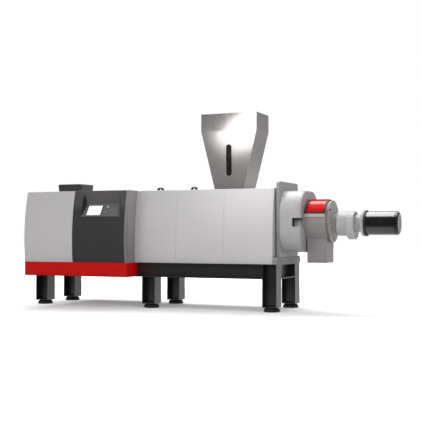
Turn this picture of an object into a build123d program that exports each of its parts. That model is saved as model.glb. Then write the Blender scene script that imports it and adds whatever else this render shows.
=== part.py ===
from build123d import *
from math import atan2, cos, degrees, hypot, radians, sin
import os

# Plastic film squeezer: a screw press on an H-beam frame, with a crowned drive
# housing at the left, a covered barrel with a hopper, and a cutter head with
# its motor at the right. Millimetres, +X along the machine to the motor, the
# operator's side at -Y, +Z up, the floor at Z = 0.

# Frame steel
section = 175.0
web_thickness = 7.5
flange_thickness = 11.0
frame_width = 874.0
leg_inset = 16.0
left_leg_tuck = 20.0
middle_leg_gap = 102.0
right_leg_setback = 8.0
rail_underside = 382.0
base_plate_thickness = 12.0
end_plate_thickness = 8.0

# Levelling feet
foot_height = 52.0
pad_radius = 95.0
pad_edge_height = 28.0
pad_rounding = 8.0
pad_neck_radius = 70.0

# Red base under the drive housing
base_length = 1483.0
base_half_width = 645.0
base_side_beam_width = 100.0
base_left_beam_width = 200.0
base_right_beam_width = 150.0
deck_thickness = 8.0

# Crowned covers
cover_height = 891.0
cover_edge_radius = 10.0
housing_half_bottom = 645.0
housing_half_middle = 657.0
housing_half_top = 585.0
barrel_half_bottom = 432.0
barrel_half_middle = 428.0
barrel_half_top = 365.0
control_cover_length = 736.0
cover_seam = 4.0
end_wall_thickness = 30.0
left_panel_length = 558.0
panel_length = 618.0

# Vent hood on the drive cover
hood_length = 350.0
hood_half_width = 150.0
hood_height = 117.0
hood_flare = 10.0
hood_corner_radius = 24.0
hood_top_rounding = 18.0

# Control recess in the dark cover
recess_length = 494.0
recess_right_margin = 97.0
recess_depth_from_crown = 108.0
recess_top_lip = 6.0
crease_below_top = 172.0
desk_drop = 152.0
desk_reach = 100.0
recess_side_slope = 0.30
cut_overrun = 60.0
panel_thickness = 3.0
panel_margin = 8.0
screen_width = 197.0
screen_height = 141.0
screen_thickness = 6.0
screen_from_left = 48.0
screen_below_crease = 24.0
button_radius = 19.0
button_height = 14.0
button_cap_radius = 13.0
button_cap_height = 10.0
button_gap_from_screen = 84.0
button_below_crease = 46.0
button_pitch = 80.0

# Lifting eyes on the barrel cover
eye_half_width = 46.0
eye_height = 52.0
eye_corner_radius = 32.0
eye_hole_radius = 14.0
eye_hole_above_cover = 24.0
eye_thickness = 20.0
left_eye_from_panel = 138.0
right_eye_from_panel = 50.0

# Hopper and feed throat
hopper_half_length = 362.0
hopper_half_width = 214.0
hopper_collar_height = 213.0
hopper_taper_height = 717.0
hopper_neck_half_length = 188.0
hopper_neck_half_width = 195.0
hopper_sheet = 4.0
hopper_behind_end = 638.0
sight_width = 72.0
sight_height = 383.0
sight_centre_height = 358.0
sight_glass_lap = 12.0
sight_glass_thickness = 5.0
throat_half_length = 170.0
screw_trough_radius = 165.0
screw_shaft_radius = 80.0
screw_clearance = 7.0
flight_pitch = 150.0
flight_thickness = 14.0
flight_root = 4.0

# Press head
press_axis_height = 1057.0
barrel_neck_radius = 330.0
barrel_neck_length = 22.0
head_foot_thickness = 55.0
head_foot_height = 83.0
head_foot_corner = 30.0
head_plate_thickness = 36.0
head_plate_half_width = 350.0
head_plate_top = 1527.0
head_plate_corner = 30.0
head_half_width = 345.0
head_half_height = 363.0
head_rounding = 240.0
head_length = 239.0
pocket_length = 84.0
pocket_height = 98.0
pocket_depth = 70.0
pocket_below_axis = 12.0
head_flange_inset = 3.0
head_flange_thickness = 20.0

# Cutter housing, chute, sill and hatch
chamber_radius = 246.0
chamber_wall = 10.0
chamber_length = 263.0
cutter_disc_radius = 247.0
cutter_disc_thickness = 31.0
boss_radius = 112.0
boss_length = 58.0
chute_from_flange = 17.0
chute_length = 233.0
chute_half_width = 150.0
chute_wall = 8.0
chute_underside = 572.0
hatch_gap = 6.0
hatch_sheet = 6.0
hatch_end_gap = 6.0
hatch_end_lap = 14.0
hatch_front_angle = 22.0
hatch_back_angle = 124.0
hatch_opening_lap_angle = 6.0
sill_sheet = 10.0
sill_gap_angle = 1.5
sill_angle = 9.5
hinge_angle = 134.0
hinge_axis_radius = 262.0
hinge_pin_radius = 6.0
hinge_pin_clearance = 0.5
knuckle_radius = 12.0
knuckle_length = 30.0
knuckle_inset = 20.0
lug_thickness = 10.0
lug_gap = 2.0

# Gear reducer and motor
gear_axis_height = 1032.0
gear_radius = 143.0
gear_length = 127.0
gear_nose = 12.0
gear_flange_axis_height = 1012.0
gear_flange_radius = 165.0
gear_flange_length = 84.0
gear_flange_edge = 8.0
motor_axis_height = 1035.0
motor_neck_radius = 98.0
motor_neck_length = 112.0
counter_flange_radius = 148.0
counter_flange_thickness = 30.0
motor_flange_radius = 150.0
motor_flange_thickness = 26.0
motor_radius = 136.0
motor_length = 327.0
motor_cap_length = 44.0
motor_cap_rounding = 32.0

# Places along the machine, from its left end to the motor's end
barrel_cover_length = left_panel_length + 2 * panel_length + 2 * cover_seam
base_to_plate = barrel_cover_length + barrel_neck_length
head_stack_length = head_plate_thickness + head_length + head_flange_thickness
cutter_stack_length = chamber_length + cutter_disc_thickness + boss_length
drive_stack_length = gear_length + gear_flange_length + motor_neck_length
motor_stack_length = motor_flange_thickness + motor_length + motor_cap_length
total_length = (base_length + base_to_plate + head_stack_length + cutter_stack_length
                + drive_stack_length + motor_stack_length)
left_end = -total_length / 2
base_end = left_end + base_length
barrel_cover_end = base_end + barrel_cover_length
plate_start = barrel_cover_end + barrel_neck_length
head_start = plate_start + head_plate_thickness
flange_start = head_start + head_length
cutter_start = flange_start + head_flange_thickness
disc_start = cutter_start + chamber_length
boss_start = disc_start + cutter_disc_thickness
gear_start = boss_start + boss_length
gear_flange_start = gear_start + gear_length
motor_neck_start = gear_flange_start + gear_flange_length
motor_flange_start = motor_neck_start + motor_neck_length
motor_start = motor_flange_start + motor_flange_thickness
motor_cap_start = motor_start + motor_length
left_leg = left_end + leg_inset
middle_leg = base_end + middle_leg_gap
right_leg = head_start - right_leg_setback - section

# Heights and widths that several pieces share
rail_top = rail_underside + section
cover_top = rail_top + cover_height
half_frame = frame_width / 2
inner_frame = half_frame - section
rail_middle = half_frame - section / 2
left_leg_middle = rail_middle - left_leg_tuck

os.makedirs("parts", exist_ok=True)


def save(shape, name):
    export_step(shape, f"parts/{name}.step")


def block(x0, x1, y0, y1, z0, z1):
    centre = Pos((x0 + x1) / 2, (y0 + y1) / 2, (z0 + z1) / 2)
    return centre * Box(x1 - x0, y1 - y0, z1 - z0)


def rod_x(x0, x1, radius, height, y=0.0):
    return Pos((x0 + x1) / 2, y, height) * Rot(0, 90, 0) * Cylinder(radius, x1 - x0)


def disc_z(x, y, z0, height, bottom_radius, top_radius):
    place = Pos(x, y, z0 + height / 2)
    if bottom_radius == top_radius:
        return place * Cylinder(bottom_radius, height)
    return place * Cone(bottom_radius, top_radius, height)


def crowned(x0, x1, half_bottom, half_middle, half_top):
    middle = (rail_top + cover_top) / 2
    outline = (Line((-half_bottom, rail_top), (half_bottom, rail_top))
               + ThreePointArc((half_bottom, rail_top), (half_middle, middle), (half_top, cover_top))
               + Line((half_top, cover_top), (-half_top, cover_top))
               + ThreePointArc((-half_top, cover_top), (-half_middle, middle), (-half_bottom, rail_top)))
    cover = extrude(Plane.YZ.offset(x0) * make_face(outline), amount=x1 - x0)
    top_edges = cover.edges().filter_by(Axis.X).group_by(Axis.Z)[-1]
    return fillet(top_edges, cover_edge_radius)


# Frame: H-section legs with their flanges across the machine's length
def leg(x, y, top):
    y0 = y - section / 2
    y1 = y + section / 2
    foot = foot_height + base_plate_thickness
    near = block(x, x + flange_thickness, y0, y1, foot, top)
    far = block(x + section - flange_thickness, x + section, y0, y1, foot, top)
    web = block(x, x + section, y - web_thickness / 2, y + web_thickness / 2, foot, top)
    plate = block(x, x + section, y0, y1, foot_height, foot)
    return near + far + web + plate


leg_places = (("left", left_leg, left_leg_middle, rail_underside),
              ("middle", middle_leg, rail_middle, rail_underside),
              ("right", right_leg, rail_middle, rail_top))
for place, x, y, top in leg_places:
    save(leg(x, -y, top), f"leg_front_{place}")
    save(leg(x, y, top), f"leg_back_{place}")


# Frame: rails along the machine and beams across it, flanges at top and bottom
def rail(side):
    y0 = side * rail_middle - section / 2
    y1 = side * rail_middle + section / 2
    half_web = web_thickness / 2
    lower = block(base_end, right_leg, y0, y1, rail_underside, rail_underside + flange_thickness)
    upper = block(base_end, right_leg, y0, y1, rail_top - flange_thickness, rail_top)
    web = block(base_end, right_leg, side * rail_middle - half_web, side * rail_middle + half_web,
                rail_underside, rail_top)
    return lower + upper + web


save(rail(-1), "front_rail")
save(rail(1), "back_rail")


def cross_beam(x):
    half_web = web_thickness / 2
    middle = x + section / 2
    lower = block(x, x + section, -inner_frame, inner_frame, rail_underside, rail_underside + flange_thickness)
    upper = block(x, x + section, -inner_frame, inner_frame, rail_top - flange_thickness, rail_top)
    web = block(middle - half_web, middle + half_web, -inner_frame, inner_frame, rail_underside, rail_top)
    front = block(x, x + section, -inner_frame, -inner_frame + end_plate_thickness, rail_underside, rail_top)
    back = block(x, x + section, inner_frame - end_plate_thickness, inner_frame, rail_underside, rail_top)
    return lower + upper + web + front + back


save(cross_beam(middle_leg), "middle_cross_beam")
save(cross_beam(right_leg), "end_cross_beam")


# Levelling feet, one under each leg
def levelling_foot(x, y):
    cx = x + section / 2
    pad = disc_z(cx, y, 0, pad_edge_height, pad_radius, pad_radius)
    pad = fillet(pad.edges().filter_by(GeomType.CIRCLE).group_by(Axis.Z)[0], pad_rounding)
    return pad + disc_z(cx, y, pad_edge_height, foot_height - pad_edge_height, pad_radius, pad_neck_radius)


feet = [levelling_foot(x, side * y) for place, x, y, top in leg_places for side in (-1, 1)]
save(Compound(children=feet), "levelling_feet")

# Red base: a ring of box beams under a deck
deck_underside = rail_top - deck_thickness
inner_base = base_half_width - base_side_beam_width
save(block(left_end, base_end, -base_half_width, -inner_base, rail_underside, deck_underside), "base_front_beam")
save(block(left_end, base_end, inner_base, base_half_width, rail_underside, deck_underside), "base_back_beam")
save(block(left_end, left_end + base_left_beam_width, -inner_base, inner_base, rail_underside, deck_underside),
     "base_left_beam")
save(block(base_end - base_right_beam_width, base_end, -inner_base, inner_base, rail_underside, deck_underside),
     "base_right_beam")
save(block(left_end, base_end, -base_half_width, base_half_width, deck_underside, rail_top), "base_deck")

# Drive housing: light cover, dark control cover and end wall
control_end = base_end - end_wall_thickness
control_start = control_end - control_cover_length
drive_cover_end = control_start - cover_seam
housing = (housing_half_bottom, housing_half_middle, housing_half_top)
save(crowned(left_end, drive_cover_end, *housing), "drive_cover")
save(crowned(control_end, base_end, *housing), "housing_end_wall")

# Control recess: a V notch, open at the cover's top edge, with flared side walls
recess_right = control_end - recess_right_margin
recess_left = recess_right - recess_length
crease_y = -(housing_half_middle - recess_depth_from_crown)
crease_z = cover_top - crease_below_top
recess_front = -(housing_half_middle + cut_overrun)
desk_slope = desk_drop / desk_reach


def recess_point(side, y, z):
    flare = (crease_y - y) * recess_side_slope
    x = recess_left - flare if side < 0 else recess_right + flare
    return (x, y, z)


def recess_solid():
    lip_y = -(housing_half_top - recess_top_lip)
    lip_slope = (crease_y - lip_y) / crease_below_top
    over_z = cover_top + cut_overrun
    over_y = lip_y - lip_slope * cut_overrun
    foot_z = crease_z - (crease_y - recess_front) * desk_slope
    profile = ((crease_y, crease_z), (over_y, over_z), (recess_front, over_z), (recess_front, foot_z))
    left = [recess_point(-1, y, z) for y, z in profile]
    right = [recess_point(1, y, z) for y, z in profile]
    faces = [Face(Wire.make_polygon(left)), Face(Wire.make_polygon(right))]
    for i in range(len(profile)):
        j = (i + 1) % len(profile)
        faces.append(Face(Wire.make_polygon([left[i], left[j], right[j], right[i]])))
    return Solid(Shell(faces))


save(crowned(control_start, control_end, *housing) - recess_solid(), "control_cover")

# Desk panel with its screen and buttons, laid on the sloping face of the recess
desk_length = hypot(desk_drop, desk_reach)
desk_normal = (0, -desk_drop / desk_length, desk_reach / desk_length)
desk = Plane(origin=(recess_left, crease_y, crease_z), x_dir=(1, 0, 0), z_dir=desk_normal)
panel_width = recess_length - 2 * panel_margin
panel_height = desk_length - 2 * panel_margin


def on_desk(x, down, width, height, lift, thickness):
    return desk * Pos(x + width / 2, -down - height / 2, lift + thickness / 2) * Box(width, height, thickness)


save(on_desk(panel_margin, panel_margin, panel_width, panel_height, 0, panel_thickness), "control_panel")
save(on_desk(screen_from_left, screen_below_crease, screen_width, screen_height, panel_thickness,
             screen_thickness), "touch_screen")


def push_button(row):
    x = screen_from_left + screen_width + button_gap_from_screen
    down = button_below_crease + row * button_pitch
    body = Pos(x, -down, panel_thickness + button_height / 2) * Cylinder(button_radius, button_height)
    cap_lift = panel_thickness + button_height + button_cap_height / 2
    cap = Pos(x, -down, cap_lift) * Cylinder(button_cap_radius, button_cap_height)
    return desk * (body + cap)


save(Compound(children=[push_button(0), push_button(1)]), "push_buttons")

# Vent hood in the middle of the drive cover, a little wider at its top
hood_middle = (left_end + drive_cover_end) / 2
hood_width = 2 * hood_half_width
hood_low = RectangleRounded(hood_length, hood_width, hood_corner_radius)
hood_high = RectangleRounded(hood_length + 2 * hood_flare, hood_width + 2 * hood_flare, hood_corner_radius)
hood = loft([Plane((hood_middle, 0, cover_top)) * hood_low,
             Plane((hood_middle, 0, cover_top + hood_height)) * hood_high], ruled=True)
save(fillet(hood.edges().group_by(Axis.Z)[-1], hood_top_rounding), "vent_hood")

# Barrel cover panels, with the feed throat cut down to the screw
barrel = (barrel_half_bottom, barrel_half_middle, barrel_half_top)
middle_panel_start = base_end + left_panel_length + cover_seam
right_panel_start = middle_panel_start + panel_length + cover_seam
hopper_x = barrel_cover_end - hopper_behind_end
throat_start = hopper_x - throat_half_length
throat_end = hopper_x + throat_half_length
throat = (rod_x(throat_start, throat_end, screw_trough_radius, press_axis_height)
          + block(throat_start, throat_end, -screw_trough_radius, screw_trough_radius,
                  press_axis_height, cover_top + cut_overrun))
save(crowned(base_end, base_end + left_panel_length, *barrel), "barrel_cover_left")
save(crowned(middle_panel_start, middle_panel_start + panel_length, *barrel) - throat, "barrel_cover_middle")
save(crowned(right_panel_start, barrel_cover_end, *barrel) - throat, "barrel_cover_right")

# Feed screw in the throat: a shaft with one helical flight
flight_radius = screw_trough_radius - screw_clearance
flight_reach = flight_radius - screw_shaft_radius
flight_path = Helix(pitch=flight_pitch, height=throat_end - throat_start - flight_thickness, radius=screw_shaft_radius)
flight_plane = Plane(origin=flight_path.position_at(0), x_dir=(1, 0, 0), z_dir=flight_path.tangent_at(0))
flight_shape = Pos((flight_reach - flight_root) / 2, 0) * Rectangle(flight_reach + flight_root, flight_thickness)
flight = sweep(flight_plane * flight_shape, path=flight_path, is_frenet=True)
flight_place = Pos(throat_start + flight_thickness / 2, 0, press_axis_height) * Rot(0, 90, 0)
shaft = rod_x(throat_start, throat_end, screw_shaft_radius, press_axis_height)
swept_round = rod_x(throat_start, throat_end, flight_radius, press_axis_height)
save((shaft + flight_place * flight) & swept_round, "feed_screw")


# Lifting eyes: plate lugs with round shoulders on the barrel cover
def lifting_eye(x):
    half = eye_thickness / 2
    lug = block(x - eye_half_width, x + eye_half_width, -half, half, cover_top, cover_top + eye_height)
    lug = fillet(lug.edges().filter_by(Axis.Y).group_by(Axis.Z)[-1], eye_corner_radius)
    hole_place = Pos(x, 0, cover_top + eye_hole_above_cover) * Rot(90, 0, 0)
    return lug - hole_place * Cylinder(eye_hole_radius, eye_thickness)


eyes = [lifting_eye(base_end + left_eye_from_panel), lifting_eye(middle_panel_start + right_eye_from_panel)]
save(Compound(children=eyes), "lifting_eyes")


# Hopper: a straight collar over a taper, open at top and bottom
def hopper_form(inset):
    fold = cover_top + hopper_taper_height
    low = Plane.XY.offset(cover_top) * Pos(hopper_x, 0) * Rectangle(
        2 * (hopper_neck_half_length - inset), 2 * (hopper_neck_half_width - inset))
    high = Plane.XY.offset(fold) * Pos(hopper_x, 0) * Rectangle(
        2 * (hopper_half_length - inset), 2 * (hopper_half_width - inset))
    taper = loft([low, high], ruled=True)
    half_length = hopper_half_length - inset
    half_width = hopper_half_width - inset
    collar = block(hopper_x - half_length, hopper_x + half_length, -half_width, half_width,
                   fold, fold + hopper_collar_height)
    return taper + collar


# Sight slot and its glass, set square to the leaning front sheet
lean = (hopper_half_width - hopper_neck_half_width) / hopper_taper_height
sight_y = -(hopper_neck_half_width + lean * sight_centre_height)
sight = Plane(origin=(hopper_x, sight_y, cover_top + sight_centre_height), x_dir=(1, 0, 0),
              z_dir=(0, -1, -lean))
slot_shape = SlotOverall(sight_height, sight_width, rotation=90)
slot = extrude(sight * slot_shape, amount=-2 * hopper_sheet) + extrude(sight * slot_shape, amount=hopper_sheet)
glass_shape = SlotOverall(sight_height + 2 * sight_glass_lap, sight_width + 2 * sight_glass_lap, rotation=90)
glass = extrude(sight * Pos(0, 0, -hopper_sheet) * glass_shape, amount=-sight_glass_thickness)
save(hopper_form(0) - hopper_form(hopper_sheet) - slot, "hopper")
save(glass, "hopper_sight_glass")

# A block about the press axis with broadly rounded corners
def head_block(x0, x1, inset):
    outline = RectangleRounded(2 * (head_half_width - inset), 2 * (head_half_height - inset), head_rounding - inset)
    return extrude(Plane.YZ.offset(x0) * Pos(0, press_axis_height) * outline, amount=x1 - x0)


# Press head: foot on the frame, plate, rounded drum and end flange, with a pocket through both
foot_top = rail_top + head_foot_height
head_foot = block(head_start - head_foot_thickness, head_start, -half_frame, half_frame, rail_top, foot_top)
foot_corners = head_foot.edges().filter_by(Axis.X).group_by(Axis.Z)[-1]
save(fillet(foot_corners, head_foot_corner), "head_foot")
plate = block(plate_start, head_start, -head_plate_half_width, head_plate_half_width, foot_top, head_plate_top)
plate_corners = plate.edges().filter_by(Axis.X).group_by(Axis.Z)[-1]
save(fillet(plate_corners, head_plate_corner), "head_plate")
save(rod_x(barrel_cover_end, plate_start, barrel_neck_radius, press_axis_height), "barrel_neck")
pocket_middle = press_axis_height - pocket_below_axis
pocket = block(flange_start - pocket_length, cutter_start, -head_half_width - cut_overrun,
               -head_half_width + pocket_depth,
               pocket_middle - pocket_height / 2, pocket_middle + pocket_height / 2)
save(head_block(head_start, flange_start, 0) - pocket, "head_cylinder")
save(head_block(flange_start, cutter_start, head_flange_inset) - pocket, "head_flange")


# Points on a circle about the press axis, by angle up from the front
def around_axis(radius, angle):
    return (-radius * cos(radians(angle)), press_axis_height + radius * sin(radians(angle)))


# A curved strip of sheet about the press axis
def curved_sheet(x0, x1, inner, outer, first, last):
    middle = (first + last) / 2
    outline = (ThreePointArc(around_axis(outer, first), around_axis(outer, middle), around_axis(outer, last))
               + Line(around_axis(outer, last), around_axis(inner, last))
               + ThreePointArc(around_axis(inner, last), around_axis(inner, middle), around_axis(inner, first))
               + Line(around_axis(inner, first), around_axis(outer, first)))
    return extrude(Plane.YZ.offset(x0) * make_face(outline), amount=x1 - x0)


# Cutter housing: chamber and discharge chute in one weldment
chute_start = cutter_start + chute_from_flange
chute_end = chute_start + chute_length
hatch_start = cutter_start + hatch_end_gap
hatch_end = disc_start - hatch_end_gap
hatch_inner = chamber_radius + hatch_gap
hatch_outer = hatch_inner + hatch_sheet
outside = (rod_x(cutter_start, disc_start, chamber_radius, press_axis_height)
           + block(chute_start, chute_end, -chute_half_width, chute_half_width, chute_underside, press_axis_height))
chute_inner = chute_half_width - chute_wall
inside = (rod_x(cutter_start, disc_start, chamber_radius - chamber_wall, press_axis_height)
          + block(chute_start + chute_wall, chute_end - chute_wall, -chute_inner, chute_inner,
                  chute_underside - cut_overrun, press_axis_height))
hatch_mouth = curved_sheet(hatch_start + hatch_end_lap, hatch_end - hatch_end_lap,
                           chamber_radius - 2 * chamber_wall, chamber_radius + chamber_wall,
                           hatch_front_angle + hatch_opening_lap_angle,
                           hatch_back_angle - hatch_opening_lap_angle)
save(outside - inside - hatch_mouth, "cutter_housing")

# Sill strip on the chamber, below the hatch's front edge
sill_top_angle = hatch_front_angle - sill_gap_angle
save(curved_sheet(hatch_start, hatch_end, chamber_radius, chamber_radius + sill_sheet,
                  sill_top_angle - sill_angle, sill_top_angle), "hatch_sill")

# End disc with the boss that carries the gear reducer
cutter_end = (rod_x(disc_start, boss_start, cutter_disc_radius, press_axis_height)
              + rod_x(boss_start, gear_start, boss_radius, gear_axis_height))
save(cutter_end, "cutter_end_disc")

# Hatch over the cutter, hinged along its back edge
hinge_y, hinge_z = around_axis(hinge_axis_radius, hinge_angle)
left_knuckle = hatch_start + knuckle_inset
right_knuckle = hatch_end - knuckle_inset - knuckle_length
bore_radius = hinge_pin_radius + hinge_pin_clearance
hatch = curved_sheet(hatch_start, hatch_end, hatch_inner, hatch_outer, hatch_front_angle, hatch_back_angle)
for x in (left_knuckle, right_knuckle):
    hatch += curved_sheet(x, x + knuckle_length, hatch_inner, hatch_outer, hatch_back_angle, hinge_angle)
    hatch += rod_x(x, x + knuckle_length, knuckle_radius, hinge_z, hinge_y)
for x in (left_knuckle, right_knuckle):
    hatch -= rod_x(x, x + knuckle_length, bore_radius, hinge_z, hinge_y)
save(hatch, "cutter_hatch")


# Hinge lugs on the chamber's back, with the pin through them
def hinge_lug(x):
    length = hinge_axis_radius - chamber_radius + chamber_wall / 2
    tilt = Plane(origin=(x, hinge_y, hinge_z), x_dir=(1, 0, 0),
                 z_dir=(0, -cos(radians(hinge_angle)), sin(radians(hinge_angle))))
    stem = tilt * Pos(lug_thickness / 2, 0, -length / 2) * Box(lug_thickness, 2 * knuckle_radius, length)
    return stem + rod_x(x, x + lug_thickness, knuckle_radius, hinge_z, hinge_y)


lug_places = (left_knuckle - lug_gap - lug_thickness, left_knuckle + knuckle_length + lug_gap,
              right_knuckle - lug_gap - lug_thickness, right_knuckle + knuckle_length + lug_gap)
hinge = rod_x(lug_places[0], lug_places[-1] + lug_thickness, hinge_pin_radius, hinge_z, hinge_y)
for x in lug_places:
    hinge += hinge_lug(x)
hinge -= rod_x(cutter_start, disc_start, chamber_radius, press_axis_height)
save(hinge, "hatch_hinge")

# Gear reducer: a bell with a chamfered nose and a stepped flange
bell = rod_x(gear_start, gear_flange_start, gear_radius, gear_axis_height)
nose_edge = bell.edges().filter_by(GeomType.CIRCLE).group_by(Axis.X)[0]
bell = chamfer(nose_edge, gear_nose)
gear_flange = rod_x(gear_flange_start, motor_neck_start, gear_flange_radius, gear_flange_axis_height)
gear_flange = fillet(gear_flange.edges().filter_by(GeomType.CIRCLE), gear_flange_edge)
save(bell + gear_flange, "gear_reducer")

# Motor: neck with its counter flange, motor flange, smooth body and rounded cap
counter_flange_start = motor_flange_start - counter_flange_thickness
neck = (rod_x(motor_neck_start, counter_flange_start, motor_neck_radius, motor_axis_height)
        + rod_x(counter_flange_start, motor_flange_start, counter_flange_radius, motor_axis_height))
save(neck, "motor_neck")
save(rod_x(motor_flange_start, motor_start, motor_flange_radius, motor_axis_height), "motor_flange")
save(rod_x(motor_start, motor_cap_start, motor_radius, motor_axis_height), "motor_body")
cap = rod_x(motor_cap_start, motor_cap_start + motor_cap_length, motor_radius, motor_axis_height)
cap_edge = cap.edges().filter_by(GeomType.CIRCLE).group_by(Axis.X)[-1]
save(fillet(cap_edge, motor_cap_rounding), "motor_cap")
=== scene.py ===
import bpy
import bmesh
from math import cos, degrees, pi, radians, sin
from mathutils import Matrix, Quaternion, Vector


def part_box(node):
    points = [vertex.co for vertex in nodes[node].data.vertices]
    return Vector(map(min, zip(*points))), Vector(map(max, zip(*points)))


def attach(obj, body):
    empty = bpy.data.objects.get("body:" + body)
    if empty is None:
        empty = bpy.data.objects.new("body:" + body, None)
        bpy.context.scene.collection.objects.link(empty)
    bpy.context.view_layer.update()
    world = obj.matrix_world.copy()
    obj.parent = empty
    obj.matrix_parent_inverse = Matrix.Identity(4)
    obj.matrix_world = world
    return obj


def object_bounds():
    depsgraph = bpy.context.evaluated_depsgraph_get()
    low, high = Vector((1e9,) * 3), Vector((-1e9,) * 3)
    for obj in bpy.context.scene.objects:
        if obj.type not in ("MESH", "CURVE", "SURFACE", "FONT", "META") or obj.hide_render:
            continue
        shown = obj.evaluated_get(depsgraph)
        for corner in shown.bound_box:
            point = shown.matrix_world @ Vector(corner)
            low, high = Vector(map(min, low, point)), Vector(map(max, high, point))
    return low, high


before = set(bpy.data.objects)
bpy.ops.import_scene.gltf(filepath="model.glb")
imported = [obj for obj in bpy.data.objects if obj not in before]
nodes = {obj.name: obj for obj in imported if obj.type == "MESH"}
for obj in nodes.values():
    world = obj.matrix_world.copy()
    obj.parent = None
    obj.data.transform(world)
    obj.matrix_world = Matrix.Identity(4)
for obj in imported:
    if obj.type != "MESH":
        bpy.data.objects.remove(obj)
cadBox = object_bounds()
print("frame loaded:", len(nodes), "nodes")

# places that several pieces and finishes share, in metres
leftEnd = cadBox[0][0]
coverLow = 0.557  # underside of the covers
pressAxis = 1.057  # height of the press and the cutter
discThick = 0.031
neckFlange = 0.030  # thickness of the flange that the motor's flange meets
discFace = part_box("cutter_end_disc")[0][0] + discThick
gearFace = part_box("gear_reducer")[1][0]
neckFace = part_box("motor_flange")[0][0] - neckFlange
screenLow, screenHigh = (Vector(corner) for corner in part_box("touch_screen"))
screenCentre = (screenLow + screenHigh) / 2
deskLean = radians(56.66)
deskLie = Matrix.Translation(screenCentre) @ Matrix.Rotation(deskLean, 4, "X")

# camera, fitted to the straight edges of the frame and the covers
cameraSet = dict(fromLeftEnd=6.745, ahead=-10.217, height=0.927, turn=23.436, tilt=1.415,
                 focalPixels=892.29, framePixels=421, sensor=36.0)


def placeCamera():
    data = bpy.data.cameras.new("photoCamera")
    data.sensor_width = cameraSet["sensor"]
    data.lens = cameraSet["focalPixels"] / cameraSet["framePixels"] * cameraSet["sensor"]
    camera = bpy.data.objects.new("photoCamera", data)
    camera.location = (leftEnd + cameraSet["fromLeftEnd"], cameraSet["ahead"], cameraSet["height"])
    camera.rotation_euler = (radians(90 + cameraSet["tilt"]), 0, radians(cameraSet["turn"]))
    bpy.context.scene.collection.objects.link(camera)
    bpy.context.scene.camera = camera


placeCamera()
print("camera placed")

# measures that the finishes share
noiseSpan = (0.3, 0.7)  # where most of a noise lies
pairSpan = (0.75, 1.25)  # the middle of two noises added together
faceReach = 0.003  # how near to a plane a point is on its face
edgePlay = 0.001  # how far a mask runs past the edge of a face


# small helpers for the finishes
def feed(tree, socket, source):
    if isinstance(source, bpy.types.NodeSocket):
        tree.links.new(source, socket)
    elif isinstance(source, (int, float)):
        socket.default_value = source
    elif len(source) == 3 and socket.type == "RGBA":
        socket.default_value = (*source, 1)
    else:
        socket.default_value = source


def addNode(tree, kind, feeds=None, **settings):
    node = tree.nodes.new(kind)
    for key, value in settings.items():
        setattr(node, key, value)
    for key, source in (feeds or {}).items():
        feed(tree, node.inputs[key], source)
    return node


def startFinish(name, metal, shine):
    material = bpy.data.materials.new(name)
    material.use_nodes = True
    tree = material.node_tree
    shader = tree.nodes["Principled BSDF"]
    shader.inputs["Metallic"].default_value = metal
    shader.inputs["Specular IOR Level"].default_value = shine
    return material, tree, shader


def pointsOn(tree, stretch=(1, 1, 1), turn=(0, 0, 0)):
    coords = addNode(tree, "ShaderNodeTexCoord")
    return addNode(tree, "ShaderNodeMapping", {"Vector": coords.outputs["Object"], "Scale": stretch,
                                               "Rotation": turn}).outputs[0]


def noiseOn(tree, points, scale, detail=3.0, rough=0.55):
    return addNode(tree, "ShaderNodeTexNoise", {"Vector": points, "Scale": scale, "Detail": detail,
                                                "Roughness": rough}).outputs[0]


def ranged(tree, value, fromLow, fromHigh, toLow, toHigh, soft=False):
    return addNode(tree, "ShaderNodeMapRange", {"Value": value, "From Min": fromLow, "From Max": fromHigh,
                                                "To Min": toLow, "To Max": toHigh},
                   interpolation_type="SMOOTHSTEP" if soft else "LINEAR").outputs[0]


def calc(tree, kind, first, second=0.0):
    return addNode(tree, "ShaderNodeMath", {0: first, 1: second}, operation=kind).outputs[0]


def allOf(tree, first, *others):
    for other in others:
        first = calc(tree, "MULTIPLY", first, other)
    return first


def blended(tree, share, first, second, kind="MIX"):
    return addNode(tree, "ShaderNodeMix", {0: share, 6: first, 7: second}, data_type="RGBA",
                   blend_type=kind).outputs[2]


def coordinateOf(tree, axis):
    coords = addNode(tree, "ShaderNodeTexCoord")
    return addNode(tree, "ShaderNodeSeparateXYZ", {0: coords.outputs["Object"]}).outputs[axis]


def planeOffset(tree, normal):
    coords = addNode(tree, "ShaderNodeTexCoord")
    return addNode(tree, "ShaderNodeVectorMath", {0: coords.outputs["Object"], 1: normal},
                   operation="DOT_PRODUCT").outputs["Value"]


def near(tree, value, place, reach=faceReach):
    apart = calc(tree, "ABSOLUTE", calc(tree, "SUBTRACT", value, place))
    return calc(tree, "LESS_THAN", apart, reach)


def bumped(tree, shader, height, strength, depth):
    bump = addNode(tree, "ShaderNodeBump", {"Height": height, "Strength": strength, "Distance": depth})
    tree.links.new(bump.outputs[0], shader.inputs["Normal"])


def shade(colour, share):
    return tuple(min(channel * share, 1.0) for channel in colour)


def paled(colour, share, added):
    return tuple(channel * share + added for channel in colour)


def mottled(tree, noise, colour, amount):
    return blended(tree, noise, shade(colour, 1 - amount), shade(colour, 1 + amount))


# where the mask is 1, the tint times a grey factor
def toned(tree, mask, tint, factor):
    grey = (factor,) * 3 if isinstance(factor, float) else factor
    return blended(tree, mask, tint, blended(tree, 1.0, tint, grey, "MULTIPLY"))


# control cover: painted light that makes it lighter to its top, and inside the recess, whose faces are found by
# their planes,
# painted light and shade: a light back, a grey desk and cheeks that are dark below and bright above
recessSet = dict(left=leftEnd + 0.862, right=leftEnd + 1.356, creaseY=-0.549, creaseZ=1.276,
                 lean=0.1744, slope=1.52, flare=0.30, deskReach=0.005, backTint=2.5, deskTint=2.7,
                 cheekTop=1.385, lowCheek=0.6, highCheek=2.0, crownFrom=1.18, crownTo=1.30, crownTint=1.82)


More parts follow.
